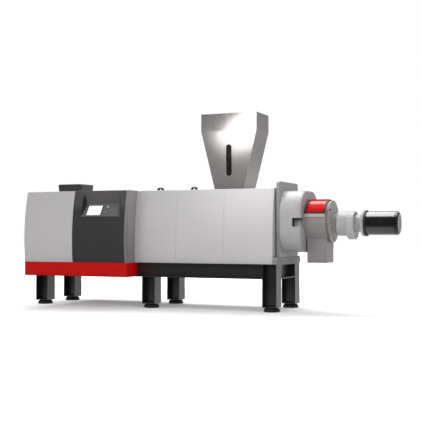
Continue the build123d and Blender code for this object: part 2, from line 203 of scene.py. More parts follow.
def recessPaintedShade(tree, tint, spec):
    lean, slope, flare = spec["lean"], spec["slope"], spec["flare"]
    creaseY, creaseZ = spec["creaseY"], spec["creaseZ"]
    leftPlane, rightPlane = spec["left"] - flare * creaseY, spec["right"] + flare * creaseY
    deskPlane = creaseZ - slope * creaseY
    leftward, rightward = planeOffset(tree, (1, -flare, 0)), planeOffset(tree, (1, flare, 0))
    upward, height = planeOffset(tree, (0, -slope, 1)), coordinateOf(tree, "Z")
    inside = allOf(tree, calc(tree, "GREATER_THAN", leftward, leftPlane - edgePlay),
                   calc(tree, "LESS_THAN", rightward, rightPlane + edgePlay))
    above = calc(tree, "GREATER_THAN", upward, deskPlane - 2 * edgePlay)
    back = near(tree, planeOffset(tree, (0, 1, lean)), creaseY + lean * creaseZ)
    desk = near(tree, upward, deskPlane, spec["deskReach"])
    cheeks = calc(tree, "MAXIMUM", near(tree, leftward, leftPlane), near(tree, rightward, rightPlane))
    cheeks = allOf(tree, cheeks, above)
    lowCheek = allOf(tree, cheeks, calc(tree, "LESS_THAN", height, spec["cheekTop"]))
    highCheek = calc(tree, "SUBTRACT", cheeks, lowCheek)
    # painted light: the cover lighter towards its top
    crown = ranged(tree, height, spec["crownFrom"], spec["crownTo"], 1.0, spec["crownTint"], True)
    tint = toned(tree, calc(tree, "SUBTRACT", 1.0, inside), tint, crown)
    # painted light and shade on the recess faces
    for mask, factor in ((lowCheek, spec["lowCheek"]), (highCheek, spec["highCheek"]),
                         (allOf(tree, back, inside), spec["backTint"]),
                         (allOf(tree, desk, inside), spec["deskTint"])):
        tint = toned(tree, mask, tint, factor)
    return tint


# pocket of the press head, painted shade: dark walls, found by their planes, and a floor that is lighter to the
# right and below
pocketSet = dict(left=leftEnd + 3.498, top=1.094, middle=1.045, half=0.049, floor=-0.275, fade=0.10,
                 dark=1.0, pale=1.25, shadow=0.24, wall=0.06)
flangePocketSet = dict(pocketSet, dark=0.16, pale=0.75, shadow=0.45)


def pocketPaintedShade(tree, tint, spec):
    left, floor, middle, half = spec["left"], spec["floor"], spec["middle"], spec["half"]
    across, depth, height = (coordinateOf(tree, axis) for axis in "XYZ")
    inLength = calc(tree, "GREATER_THAN", across, left - edgePlay)
    walls = calc(tree, "MAXIMUM", near(tree, across, left), near(tree, height, spec["top"]))
    walls = allOf(tree, walls, calc(tree, "LESS_THAN", depth, floor + edgePlay), inLength,
                  near(tree, height, middle, half + 2 * edgePlay))
    inner = allOf(tree, near(tree, depth, floor), near(tree, height, middle, half + edgePlay), inLength)
    # painted shade on the pocket's floor and walls
    fade = ranged(tree, across, left, left + spec["fade"], spec["dark"], spec["pale"], True)
    rise = ranged(tree, height, middle - half, middle + half, 1.0, spec["shadow"], True)
    tint = toned(tree, inner, tint, allOf(tree, fade, rise))
    return toned(tree, walls, tint, spec["wall"])


# sprayed paint: soft clouding, a fine peel and specks of dust, and where asked scuffs, darker towards the bottom
# (painted shade on the end wall), painted light and shade in a recess or pocket, rims in another shade (painted
# shade, and a dark underside), painted light rising along one axis, or a glossier band
paintGrain = dict(cloudScale=2.4, cloudDetail=4.0, speckScale=60.0, dustSpan=(0.60, 0.78), dustPale=(0.75, 0.055),
                  streakStretch=(3.0, 3.0, 26.0), streakTurn=(0.2, 0.1, 0.4), streakScale=4.0, streakDetail=6.0,
                  streakRough=0.7, wornSpan=(0.66, 0.76), wornPale=(0.6, 0.09), grimeRagged=0.02, grimeShade=0.45,
                  peelScale=420.0, peelDetail=2.0, peelDepth=0.0006)


def paintFinish(name, colour, rough, shine, mottle=0.03, peel=0.06, dust=0.10, vary=0.065, scuff=0.0, metal=0.0,
                lowDarkening=None, recess=None, pocket=None, rims=(), corner=None, band=None):
    material, tree, shader = startFinish(name, metal, shine)
    points = pointsOn(tree)
    cloud = noiseOn(tree, points, paintGrain["cloudScale"], paintGrain["cloudDetail"])
    speck = noiseOn(tree, points, paintGrain["speckScale"])
    tint = mottled(tree, ranged(tree, cloud, *noiseSpan, 0.0, 1.0), colour, mottle)
    dusty = ranged(tree, speck, *paintGrain["dustSpan"], 0.0, dust)
    tint = blended(tree, dusty, tint, paled(colour, *paintGrain["dustPale"]))
    if scuff:
        streak = noiseOn(tree, pointsOn(tree, paintGrain["streakStretch"], paintGrain["streakTurn"]),
                         paintGrain["streakScale"], paintGrain["streakDetail"], paintGrain["streakRough"])
        worn = ranged(tree, streak, *paintGrain["wornSpan"], 0.0, scuff)
        tint = blended(tree, worn, tint, paled(colour, *paintGrain["wornPale"]))
    # darker towards the bottom with a ragged edge; on the end wall this is painted shade
    if lowDarkening:
        ragged = paintGrain["grimeRagged"]
        edge = calc(tree, "ADD", coordinateOf(tree, "Z"), ranged(tree, speck, *noiseSpan, -ragged, ragged))
        darkened = ranged(tree, edge, lowDarkening["low"], lowDarkening["high"], lowDarkening["share"], 0.0, True)
        tint = blended(tree, darkened, tint, shade(colour, paintGrain["grimeShade"]))
    # painted light and shade in the control recess and in the head's pocket
    if recess:
        tint = recessPaintedShade(tree, tint, recess)
    if pocket:
        tint = pocketPaintedShade(tree, tint, pocket)
    # rims in another shade: painted shade, except the dark underside of the base
    for rim in rims:
        onRim = near(tree, coordinateOf(tree, rim["axis"]), rim["middle"], rim["half"])
        tint = toned(tree, onRim, tint, rim["factor"])
    # painted light: the colour rises by a factor along one axis
    if corner:
        toCorner = ranged(tree, coordinateOf(tree, corner["axis"]), corner["start"], corner["stop"],
                          1.0, corner["factor"], True)
        tint = blended(tree, 1.0, tint, toCorner, "MULTIPLY")
    if band:
        height, soft = coordinateOf(tree, "Z"), band["soft"]
        rise = ranged(tree, height, band["low"] - soft, band["low"] + soft, 0.0, 1.0, True)
        fall = ranged(tree, height, band["high"] - soft, band["high"] + soft, 1.0, 0.0, True)
        feed(tree, shader.inputs["Coat Weight"], allOf(tree, rise, fall, band["coat"]))
        shader.inputs["Coat Roughness"].default_value = rough
    feed(tree, shader.inputs["Base Color"], tint)
    pair = calc(tree, "ADD", cloud, speck)
    feed(tree, shader.inputs["Roughness"], ranged(tree, pair, *pairSpan, rough - vary, rough + vary))
    peelNoise = noiseOn(tree, points, paintGrain["peelScale"], paintGrain["peelDetail"])
    bumped(tree, shader, peelNoise, peel, paintGrain["peelDepth"])
    return material


# sheet or machined steel: grain drawn out along one direction, with cloudy reflection
steelGrain = dict(coarseDetail=6.0, coarseRough=0.65, streak=0.06, fineRatio=5, cloudScale=3.0,
                  cloudSpan=(0.35, 0.7), cloudShade=0.6, smoother=0.03, rougher=0.04, bump=0.05, bumpDepth=0.0004)


def steelFinish(name, colour, rough, grain, metal, shine=0.5, cloudShare=0.05, pocket=None):
    material, tree, shader = startFinish(name, metal, shine)
    coarse = noiseOn(tree, pointsOn(tree, grain), 1.0, steelGrain["coarseDetail"], steelGrain["coarseRough"])
    fine = noiseOn(tree, pointsOn(tree, tuple(value * steelGrain["fineRatio"] for value in grain)), 1.0)
    cloud = noiseOn(tree, pointsOn(tree), steelGrain["cloudScale"])
    lines = mottled(tree, ranged(tree, coarse, *noiseSpan, 0.0, 1.0), colour, steelGrain["streak"])
    cloudy = ranged(tree, cloud, *steelGrain["cloudSpan"], 0.0, cloudShare)
    tint = blended(tree, cloudy, lines, shade(colour, steelGrain["cloudShade"]))
    # painted shade in the head's pocket
    if pocket:
        tint = pocketPaintedShade(tree, tint, pocket)
    feed(tree, shader.inputs["Base Color"], tint)
    feed(tree, shader.inputs["Roughness"], ranged(tree, calc(tree, "ADD", coarse, cloud), *pairSpan,
                                                  rough - steelGrain["smoother"], rough + steelGrain["rougher"]))
    bumped(tree, shader, fine, steelGrain["bump"], steelGrain["bumpDepth"])
    return material


# rubber: matt black with a fine moulded grain and dusty wear
rubberGrain = dict(shine=0.25, cloudScale=9.0, cloudDetail=5.0, wornSpan=(0.45, 0.75), wornShare=0.35,
                   wornPale=(1.4, 0.012), smoother=0.05, rougher=0.08, grainScale=300.0, bump=0.2, bumpDepth=0.0008)


def rubberFinish(name, colour, rough):
    material, tree, shader = startFinish(name, 0.0, rubberGrain["shine"])
    points = pointsOn(tree)
    cloud = noiseOn(tree, points, rubberGrain["cloudScale"], rubberGrain["cloudDetail"])
    worn = ranged(tree, cloud, *rubberGrain["wornSpan"], 0.0, rubberGrain["wornShare"])
    feed(tree, shader.inputs["Base Color"], blended(tree, worn, colour, paled(colour, *rubberGrain["wornPale"])))
    feed(tree, shader.inputs["Roughness"], ranged(tree, cloud, *noiseSpan, rough - rubberGrain["smoother"],
                                                  rough + rubberGrain["rougher"]))
    bumped(tree, shader, noiseOn(tree, points, rubberGrain["grainScale"]), rubberGrain["bump"],
           rubberGrain["bumpDepth"])
    return material


# moulded plastic of the desk's small pieces, in one colour or in two split at a height
plasticGrain = dict(shine=0.4, cloudScale=40.0, mottle=0.07, smoother=0.04, rougher=0.05,
                    grainScale=900.0, grainDetail=2.0, bump=0.08, bumpDepth=0.0003)


def plasticFinish(name, colour, rough, upper=None, split=0.0):
    material, tree, shader = startFinish(name, 0.0, plasticGrain["shine"])
    points = pointsOn(tree)
    cloud = noiseOn(tree, points, plasticGrain["cloudScale"])
    tint = mottled(tree, cloud, colour, plasticGrain["mottle"])
    if upper:
        above = calc(tree, "GREATER_THAN", coordinateOf(tree, "Z"), split)
        tint = blended(tree, above, tint, mottled(tree, cloud, upper, plasticGrain["mottle"]))
    feed(tree, shader.inputs["Base Color"], tint)
    feed(tree, shader.inputs["Roughness"], ranged(tree, cloud, *noiseSpan, rough - plasticGrain["smoother"],
                                                  rough + plasticGrain["rougher"]))
    grain = noiseOn(tree, points, plasticGrain["grainScale"], plasticGrain["grainDetail"])
    bumped(tree, shader, grain, plasticGrain["bump"], plasticGrain["bumpDepth"])
    return material


# lit display: soft white with faint tiles, behind smooth glass
screenSet = dict(shine=0.3, tilePale=(1.0, 1.0, 1.0), tileCool=(0.97, 0.98, 1.0), jointGrey=(0.86, 0.88, 0.92),
                 tileScale=18.0, tileWide=0.9, tileTall=0.5, jointWide=0.012, glow=1.0,
                 glassScale=8.0, glassDark=(0.02, 0.02, 0.022), glassPale=(0.03, 0.03, 0.032),
                 smearScale=30.0, clear=0.06, smeared=0.14)


def screenFinish(name):
    material, tree, shader = startFinish(name, 0.0, screenSet["shine"])
    points = pointsOn(tree)
    flat = addNode(tree, "ShaderNodeVectorRotate", {"Vector": points, "Center": screenCentre, "Angle": -deskLean},
                   rotation_type="X_AXIS").outputs[0]
    tiles = addNode(tree, "ShaderNodeTexBrick", {
        "Vector": flat, "Color1": screenSet["tilePale"], "Color2": screenSet["tileCool"],
        "Mortar": screenSet["jointGrey"], "Scale": screenSet["tileScale"], "Mortar Size": screenSet["jointWide"],
        "Brick Width": screenSet["tileWide"], "Row Height": screenSet["tileTall"]}).outputs[0]
    glass = blended(tree, noiseOn(tree, points, screenSet["glassScale"]), screenSet["glassDark"],
                    screenSet["glassPale"])
    feed(tree, shader.inputs["Base Color"], glass)
    feed(tree, shader.inputs["Emission Color"], tiles)
    shader.inputs["Emission Strength"].default_value = screenSet["glow"]
    feed(tree, shader.inputs["Roughness"], ranged(tree, noiseOn(tree, points, screenSet["smearScale"]), *noiseSpan,
                                                  screenSet["clear"], screenSet["smeared"]))
    return material


# dark sight glass: smoky, with a film of dust inside
sightSet = dict(shine=0.05, colour=(0.008, 0.005, 0.005), filmColour=(0.030, 0.024, 0.022), filmScale=14.0,
                filmDetail=5.0, filmSpan=(0.4, 0.75), filmShare=0.5, clear=0.10, dusty=0.24)


def sightFinish(name):
    material, tree, shader = startFinish(name, 0.0, sightSet["shine"])
    film = noiseOn(tree, pointsOn(tree), sightSet["filmScale"], sightSet["filmDetail"])
    filmed = ranged(tree, film, *sightSet["filmSpan"], 0.0, sightSet["filmShare"])
    feed(tree, shader.inputs["Base Color"], blended(tree, filmed, sightSet["colour"], sightSet["filmColour"]))
    feed(tree, shader.inputs["Roughness"], ranged(tree, film, *noiseSpan, sightSet["clear"], sightSet["dusty"]))
    return material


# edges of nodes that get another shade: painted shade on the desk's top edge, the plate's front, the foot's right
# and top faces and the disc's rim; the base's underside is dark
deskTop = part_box("control_panel")[1][2]
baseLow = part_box("base_front_beam")[0][2]
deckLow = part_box("base_deck")[0][2]
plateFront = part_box("head_plate")[0][1]
footRight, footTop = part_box("head_foot")[1][0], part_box("head_foot")[1][2]
# the end disc's rim darker: painted shade
discRim = dict(axis="X", middle=discFace - 0.0175, half=0.0155, factor=0.45)

# looks that several finishes start from
darkGrey = (0.037, 0.0345, 0.035)
discGrey = (0.285, 0.272, 0.258)
castGrey = (0.228, 0.221, 0.216)
castLook = dict(rough=0.40, shine=0.2, mottle=0.05, peel=0.14)
redLook = dict(colour=(0.50, 0.0035, 0.003), rough=0.42, shine=0.12, mottle=0.04)
beamLook = dict(rough=0.30, shine=0.70, peel=0.02, dust=0.025, vary=0.025)
motorLook = dict(mottle=0.08, peel=0.01, dust=0.03, vary=0.03)
boltLook = dict(grain=(30.0, 30.0, 30.0), shine=0.3)

paintSet = dict(
    coverPaint=dict(colour=(0.46, 0.448, 0.450), rough=0.40, shine=0.35, mottle=0.02,
                    lowDarkening=dict(low=coverLow, high=0.66, share=0.18)),
    # end wall of the housing: a darker copy of the covers' grey, darker towards the bottom and lighter behind its
    # front edge, all painted shade and light
    endPaint=dict(colour=(0.208, 0.198, 0.200), rough=0.42, shine=0.3,
                  lowDarkening=dict(low=coverLow, high=1.42, share=0.45),
                  corner=dict(axis="Y", start=-0.65, stop=-0.58, factor=1.20)),
    # control cover: painted light and shade in and round its recess
    controlPaint=dict(colour=darkGrey, rough=0.42, shine=0.3, mottle=0.05, recess=recessSet,
                      lowDarkening=dict(low=coverLow, high=0.64, share=0.3)),
    hoodPaint=dict(colour=darkGrey, rough=0.30, shine=0.5, mottle=0.06),
    eyePaint=dict(colour=(0.012, 0.012, 0.012), rough=0.36, shine=0.4, mottle=0.06, scuff=0.2),
    # the desk's top edge darker: painted shade
    deskPaint=dict(colour=(0.130, 0.127, 0.128), rough=0.45, shine=0.3, mottle=0.05, peel=0.12,
                   rims=[dict(axis="Z", middle=deskTop, half=0.005, factor=0.3)]),
    basePaint=dict(redLook, scuff=0.10, dust=0.04, lowDarkening=dict(low=0.382, high=0.43, share=0.35),
                   rims=[dict(axis="Z", middle=baseLow, half=0.001, factor=0.05)]),
    deckPaint=dict(redLook, rims=[dict(axis="Z", middle=deckLow, half=0.001, factor=0.05)]),
    hatchPaint=dict(colour=(0.445, 0.0065, 0.0065), rough=0.13, shine=0.03, mottle=0.04, peel=0.03, dust=0.02,
                    vary=0.03, band=dict(low=1.259, high=1.291, soft=0.005, coat=0.37)),
    framePaint=dict(beamLook, colour=(0.0088, 0.0075, 0.0077), mottle=0.10, scuff=0.08,
                    lowDarkening=dict(low=0.05, high=0.16, share=0.3)),
    railPaint=dict(beamLook, colour=(0.0185, 0.0150, 0.0156), mottle=0.06),
    motorPaint=dict(motorLook, colour=(0.094, 0.0905, 0.092), rough=0.20, shine=0.5, metal=1.0),
    capPaint=dict(motorLook, colour=(0.0048, 0.0040, 0.0043), rough=0.27, shine=0.41),
    flangeBlack=dict(colour=(0.03, 0.028, 0.028), rough=0.55, shine=0.15, mottle=0.08, peel=0.10),
    castPaint=dict(castLook, colour=castGrey, scuff=0.12),
    # the plate's front face darker: painted shade
    platePaint=dict(castLook, colour=(0.260, 0.256, 0.252), scuff=0.12,
                    rims=[dict(axis="Y", middle=plateFront, half=faceReach, factor=0.82)]),
    # the foot's right and top faces darker: painted shade
    footPaint=dict(castLook, colour=castGrey,
                   rims=[dict(axis="X", middle=footRight, half=faceReach, factor=0.64),
                         dict(axis="Z", middle=footTop, half=faceReach, factor=0.3)]),
    chamberPaint=dict(castLook, colour=(0.213, 0.198, 0.197), scuff=0.12),
    discPaint=dict(castLook, colour=discGrey, rims=[discRim]),
    # head flange: painted shade in its pocket
    flangePaint=dict(colour=(0.282, 0.275, 0.280), rough=0.38, shine=0.2, mottle=0.05, peel=0.08,
                     pocket=flangePocketSet),
    gearPaint=dict(colour=(0.353, 0.344, 0.348), rough=0.40, shine=0.16, mottle=0.04, peel=0.10))
steelSet = dict(
    # press head: painted shade in its pocket
    headSteel=dict(colour=(0.345, 0.338, 0.337), rough=0.34, grain=(160.0, 2.0, 2.0), metal=0.06, shine=0.2,
                   pocket=pocketSet),
    hopperSteel=dict(colour=(0.270, 0.252, 0.250), rough=0.115, grain=(90.0, 90.0, 1.6), metal=0.5, shine=0.3,
                     cloudShare=0.08),
    screwSteel=dict(colour=(0.42, 0.41, 0.39), rough=0.32, grain=(40.0, 4.0, 4.0), metal=1.0),
    sillSteel=dict(colour=(0.455, 0.355, 0.325), rough=0.30, grain=(2.0, 90.0, 90.0), metal=0.35),
    boltBlack=dict(boltLook, colour=(0.05, 0.048, 0.045), rough=0.40, metal=0.3),
    boltSteel=dict(boltLook, colour=discGrey, rough=0.36, metal=0.2))
rubberSet = dict(
    footRubber=dict(colour=(0.010, 0.0095, 0.0095), rough=0.6),
    # the hatch seal's rubber: partly painted shade in the hatch's gaps
    sealRubber=dict(colour=(0.008, 0.007, 0.007), rough=0.55))
plasticSet = dict(
    bezelPlastic=dict(colour=(0.080, 0.079, 0.080), rough=0.4),
    ringPlastic=dict(colour=(0.100, 0.098, 0.099), rough=0.4),
    buttonPlastic=dict(colour=(0.20, 0.196, 0.198), rough=0.28, upper=(0.41, 0.40, 0.40), split=1.207))

finishes = dict(screenGlass=screenFinish("screenGlass"), sightGlass=sightFinish("sightGlass"))
for makeFinish, group in ((paintFinish, paintSet), (steelFinish, steelSet), (rubberFinish, rubberSet),
                          (plasticFinish, plasticSet)):
    for name, spec in group.items():
        finishes[name] = makeFinish(name, **spec)

# the nodes of each finish
legNodes = [name for name in nodes if name.startswith("leg_")]
nodesOf = dict(
    coverPaint=["drive_cover", "barrel_cover_left", "barrel_cover_middle", "barrel_cover_right"],
    endPaint=["housing_end_wall"], controlPaint=["control_cover"], hoodPaint=["vent_hood"],
    eyePaint=["lifting_eyes"], deskPaint=["control_panel"],
    basePaint=["base_front_beam", "base_back_beam", "base_left_beam", "base_right_beam"],
    deckPaint=["base_deck"], hatchPaint=["cutter_hatch"], framePaint=legNodes + ["middle_cross_beam"],
    railPaint=["front_rail", "back_rail", "end_cross_beam"],
    motorPaint=["motor_body"], capPaint=["motor_cap"], flangeBlack=["motor_flange"],
    castPaint=["hatch_hinge"], platePaint=["head_plate"], footPaint=["head_foot"],
    chamberPaint=["cutter_housing"], discPaint=["cutter_end_disc"], flangePaint=["head_flange"],
    gearPaint=["gear_reducer", "motor_neck"], headSteel=["head_cylinder"], hopperSteel=["hopper"],
    screwSteel=["barrel_neck", "feed_screw"], sillSteel=["hatch_sill"], footRubber=["levelling_feet"],
    screenGlass=["touch_screen"], buttonPlastic=["push_buttons"], sightGlass=["hopper_sight_glass"])
for finishName, names in nodesOf.items():
    for name in names:
        nodes[name].data.materials.clear()
        nodes[name].data.materials.append(finishes[finishName])
dressed = [name for names in nodesOf.values() for name in names]
print("finishes set, nodes without one:", [name for name in nodes if name not in dressed])

# measures that the new pieces share: metres, degrees for sharp and radians for corner
meshSet = dict(merge=0.00002, cut=0.00001, sharp=35.0, corner=1.0, roundSteps=3)


# helpers for the new pieces
def makePiece(name, bm, finishName, body, smooth=False):
    bmesh.ops.remove_doubles(bm, verts=bm.verts, dist=meshSet["merge"])
    bmesh.ops.recalc_face_normals(bm, faces=bm.faces)
    mesh = bpy.data.meshes.new(name)
    bm.to_mesh(mesh)
    bm.free()
    mesh.materials.append(finishes[finishName])
    if smooth:
        mesh.shade_smooth()
        mesh.set_sharp_from_angle(angle=radians(meshSet["sharp"]))
    piece = bpy.data.objects.new(name, mesh)
    bpy.context.scene.collection.objects.link(piece)
    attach(piece, body)


def onlyOf(items, kind):
    return [item for item in items if isinstance(item, kind)]


def addOutline(bm, points):
    corners = [bm.verts.new(point) for point in points]
    return corners, [bm.edges.new(pair) for pair in zip(corners, corners[1:] + corners[:1])]


def roundEdges(bm, edges, offset, steps):
    bmesh.ops.bevel(bm, geom=edges, offset=offset, segments=steps, profile=0.5, affect="EDGES", material=-1)


# hexagon bolts on washers, in circles round an axis along X
# in boltShape the washer's radii and the chamfer are shares of a bolt's size
boltShape = dict(washerFoot=1.12, washerTop=1.06, washerSides=20, headSides=6, chamfer=0.12, chamferSteps=2,
                 level=0.0005)
discCircle = dict(first=40.0, radius=0.206, x=discFace, axis=pressAxis, facing=1, washer=0.003, head=0.009)
flangeBolt = dict(size=0.010, washer=0.0025, head=0.007, finish="boltSteel")
boltSet = dict(
    discBolts=dict(discCircle, count=8, skip=1, size=0.0125, finish="boltSteel"),
    latchBolt=dict(discCircle, count=1, size=0.015, finish="boltBlack"),
    gearBolts=dict(flangeBolt, count=8, first=22.5, radius=0.138, x=gearFace, axis=1.012, facing=1),
    motorBolts=dict(flangeBolt, count=4, first=45.0, radius=0.122, x=neckFace, axis=1.035, facing=-1))


def addBolt(bm, turn, spec):
    size, washer, head = spec["size"], spec["washer"], spec["head"]
    bmesh.ops.create_cone(bm, cap_ends=True, segments=boltShape["washerSides"], depth=washer,
                          radius1=size * boltShape["washerFoot"], radius2=size * boltShape["washerTop"],
                          matrix=turn @ Matrix.Translation((0, 0, washer / 2)))
    made = bmesh.ops.create_cone(bm, cap_ends=True, segments=boltShape["headSides"], depth=head,
                                 radius1=size, radius2=size,
                                 matrix=turn @ Matrix.Translation((0, 0, washer + head / 2)))
    top = turn @ Vector((0, 0, washer + head))
    axis = turn.to_3x3() @ Vector((0, 0, 1))
    crown = [v for v in made["verts"] if abs((v.co - top).dot(axis)) < boltShape["level"]]
    rim = [edge for edge in bm.edges if all(v in crown for v in edge.verts)]
    roundEdges(bm, rim, size * boltShape["chamfer"], boltShape["chamferSteps"])


def makeBolts(name, spec):
    bm = bmesh.new()
    radius, count = spec["radius"], spec["count"]
    for index in range(spec.get("skip", 0), count):
        angle = radians(spec["first"] + index * 360 / count)
        place = Vector((spec["x"], -radius * cos(angle), spec["axis"] + radius * sin(angle)))
        outward = Matrix.Rotation(spec["facing"] * pi / 2, 4, "Y")
        addBolt(bm, Matrix.Translation(place) @ outward @ Matrix.Rotation(angle, 4, "Z"), spec)
    makePiece(name, bm, spec["finish"], "machine")


for name, spec in boltSet.items():
    makeBolts(name, spec)
print("bolts made")

# sealing strips in the joints between the barrel covers, a little below their skin
jointSet = dict(covers=("barrel_cover_left", "barrel_cover_middle"), seam=0.004, below=0.996, base=coverLow)


def makeJoints():
    seam, below, base = jointSet["seam"], jointSet["below"], jointSet["base"]
    bm = bmesh.new()
    for name in jointSet["covers"]:
        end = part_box(name)[1][0]
        slab = bmesh.new()
        slab.from_mesh(nodes[name].data)
        bmesh.ops.remove_doubles(slab, verts=slab.verts, dist=meshSet["merge"])
        cut = bmesh.ops.bisect_plane(slab, geom=slab.verts[:] + slab.edges[:] + slab.faces[:], dist=meshSet["cut"],
                                     plane_co=(end - seam, 0, 0), plane_no=(1, 0, 0), clear_inner=True)
        bmesh.ops.contextual_create(slab, geom=onlyOf(cut["geom_cut"], bmesh.types.BMEdge))
        bmesh.ops.translate(slab, verts=slab.verts, vec=(seam, 0, -base))
        bmesh.ops.scale(slab, verts=slab.verts, vec=(1, below, below))
        bmesh.ops.translate(slab, verts=slab.verts, vec=(0, 0, base))
        made = bpy.data.meshes.new("jointSlab")
        slab.to_mesh(made)
        slab.free()
        bm.from_mesh(made)
        bpy.data.meshes.remove(made)
    makePiece("coverJoints", bm, "coverPaint", "machine")


makeJoints()
print("cover joints made")

# dark rubber strip round the hatch, partly a seal and partly painted shade standing in for the shade in the gaps
# round it, with a raised lip along its crest whose dark line is painted shade; angles in degrees from the front
sealShadeSet = dict(axis=pressAxis, inner=0.2572, outer=0.2604, front=22.0, back=124.0, width=0.016, sideSteps=40,
               endSteps=3, crest=(81.0, 88.0), lip=0.2632, lipSteps=4)


def arcStrip(bm, sides, radii, angles, steps):
    (left, right), (inner, outer), (first, last) = sides, radii, angles
    corners, edges = addOutline(bm, [(left, -inner, 0), (right, -inner, 0), (right, -outer, 0), (left, -outer, 0)])
    bmesh.ops.rotate(bm, verts=corners, cent=(0, 0, 0), matrix=Matrix.Rotation(-radians(first), 3, "X"))
    spun = bmesh.ops.spin(bm, geom=corners + edges, cent=(0, 0, 0), axis=(-1, 0, 0), dvec=(0, 0, 0),
                          angle=radians(last - first), steps=steps, use_duplicate=False)
    ends = onlyOf(spun["geom_last"], bmesh.types.BMEdge)
    for outline in (edges, ends):
        bmesh.ops.contextual_create(bm, geom=outline)


def makeSealShade():
    low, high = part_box("cutter_hatch")
    wide, front, back = sealShadeSet["width"], sealShadeSet["front"], sealShadeSet["back"]
    radii = (sealShadeSet["inner"], sealShadeSet["outer"])
    between = (low[0] + wide, high[0] - wide)
    turnWide = degrees(wide / sealShadeSet["outer"])
    bm = bmesh.new()
    for left in (low[0], high[0] - wide):
        arcStrip(bm, (left, left + wide), radii, (front, back), sealShadeSet["sideSteps"])
    for first in (front, back - turnWide):
        arcStrip(bm, between, radii, (first, first + turnWide), sealShadeSet["endSteps"])
    arcStrip(bm, between, (sealShadeSet["inner"], sealShadeSet["lip"]), sealShadeSet["crest"], sealShadeSet["lipSteps"])
    bmesh.ops.translate(bm, verts=bm.verts, vec=(0, 0, sealShadeSet["axis"]))
    # dark rubber that partly stands in for shade round the hatch
    makePiece("hatchSeal", bm, "sealRubber", "cutter_hatch", smooth=True)


makeSealShade()
print("hatch seal made")

# bezel round the display, laid on the sloping desk
bezelSet = dict(size=(0.197, 0.141), play=0.0006, border=0.009, below=0.003, proud=0.0025, round=0.0016)


def makeBezel():
    bm = bmesh.new()
    wide, tall = (value / 2 + bezelSet["play"] for value in bezelSet["size"])
    border = bezelSet["border"]
    made = bmesh.ops.create_grid(bm, x_segments=1, y_segments=1, size=1.0)
    bmesh.ops.scale(bm, vec=(wide + border, tall + border, 1), verts=made["verts"])
    inset = bmesh.ops.inset_region(bm, faces=bm.faces[:], thickness=border, use_even_offset=True, use_boundary=True)
    middle = [face for face in bm.faces if face not in inset["faces"]]
    bmesh.ops.delete(bm, geom=middle, context="FACES")
    bmesh.ops.translate(bm, verts=bm.verts, vec=(0, 0, -bezelSet["below"]))
    ring = bmesh.ops.extrude_face_region(bm, geom=bm.faces[:])
    raised = onlyOf(ring["geom"], bmesh.types.BMVert)
    bmesh.ops.translate(bm, verts=raised, vec=(0, 0, 2 * bezelSet["below"] + bezelSet["proud"]))
    bmesh.ops.recalc_face_normals(bm, faces=bm.faces)
    top = [edge for edge in bm.edges
           if all(v in raised for v in edge.verts) and edge.calc_face_angle(0) > meshSet["corner"]]
    roundEdges(bm, top, bezelSet["round"], meshSet["roundSteps"])
    bmesh.ops.transform(bm, matrix=deskLie, verts=bm.verts)
    makePiece("screenBezel", bm, "bezelPlastic", "machine")


makeBezel()
print("screen bezel made")

# collar rings under the two push buttons
ringSet = dict(across=0.1825, upper=0.0485, lower=-0.0315, sunk=0.003, inner=0.0194, outer=0.0262, height=0.0055,
               round=0.0014, steps=56)


def makeRings():
    inner, outer, height = ringSet["inner"], ringSet["outer"], ringSet["height"]
    bm = bmesh.new()
    corners, edges = addOutline(bm, [(inner, 0, 0), (outer, 0, 0), (outer, 0, height), (inner, 0, height)])
    bmesh.ops.spin(bm, geom=corners + edges, cent=(0, 0, 0), axis=(0, 0, 1), dvec=(0, 0, 0), angle=2 * pi,
                   steps=ringSet["steps"], use_merge=True, use_duplicate=False)
    bmesh.ops.recalc_face_normals(bm, faces=bm.faces)
    rims = [edge for edge in bm.edges if edge.calc_face_angle(0) > meshSet["corner"]
            and all(v.co.z > height / 2 for v in edge.verts)]
    roundEdges(bm, rims, ringSet["round"], meshSet["roundSteps"])
    copied = bmesh.ops.duplicate(bm, geom=bm.verts[:] + bm.edges[:] + bm.faces[:])
    bmesh.ops.translate(bm, verts=onlyOf(copied["geom"], bmesh.types.BMVert),
                        vec=(0, ringSet["lower"] - ringSet["upper"], 0))
    place = Matrix.Translation((ringSet["across"], ringSet["upper"], -ringSet["sunk"]))
    bmesh.ops.transform(bm, matrix=deskLie @ place, verts=bm.verts)
    makePiece("buttonRings", bm, "ringPlastic", "machine", smooth=True)


makeRings()
print("button rings made")

# pale studio: white to the camera and in reflections behind the object, dimmer in reflections of the camera's side
studioSet = dict(
    fill=0.42,  # the world's own light on the object
    frontGloss=0.15, turnDark=-0.50, turnWhite=-0.20,  # reflections of the camera's side
    skyGloss=0.5, skyLow=0.05, skyHigh=0.10,  # reflections of the world above the floor's edge
    floorSize=80.0, floorColour=(0.80, 0.80, 0.80),
    glowScale=(0.62, 1.0, 0.0), nearEdge=2.6, farEdge=6.0, glowNear=0.17, glowFar=1.0,  # white added to the floor
    leftFrom=-1.7, leftTo=-2.2, leftGlow=0.5,  # and more of it to the left
    glossFront=-2.2, glossBack=-0.4, farFrom=10.0, farTo=25.0, farGloss=0.55)  # reflections of the floor


def seenDirectly(tree):
    path = addNode(tree, "ShaderNodeLightPath")
    glossy = path.outputs["Is Glossy Ray"]
    seen = calc(tree, "MAXIMUM", path.outputs["Is Camera Ray"], glossy)
    return calc(tree, "MAXIMUM", seen, path.outputs["Is Transmission Ray"]), glossy


